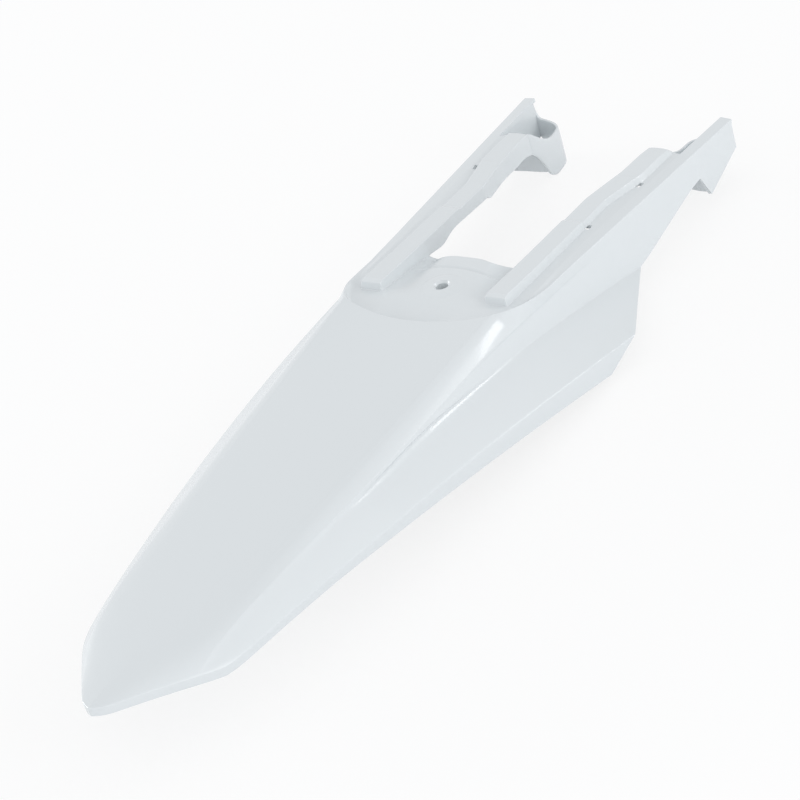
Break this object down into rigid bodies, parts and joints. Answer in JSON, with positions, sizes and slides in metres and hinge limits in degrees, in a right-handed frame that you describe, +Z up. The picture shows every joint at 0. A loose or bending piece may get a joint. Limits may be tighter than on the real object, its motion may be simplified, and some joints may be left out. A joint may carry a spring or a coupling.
{
  "type": "motorcycle rear fender",
  "caption": "Long one-piece moulded rear fender with a flat tapering blade, side wings and two hooked fork arms round a seat recess.",
  "frame": {"origin": "on the axis of the seat bolt hole in the recess, halfway through the round boss", "axes": "+X toward the front of the motorcycle, +Y to its left, +Z up, along the bolt hole"},
  "size_m": [0.706, 0.233, 0.0723],
  "materials": {
    "shell": "smooth moulded white plastic, satin gloss"
  },
  "bodies": {
    "root": {"rear_fender": "shell"}
  },
  "joints": []
}
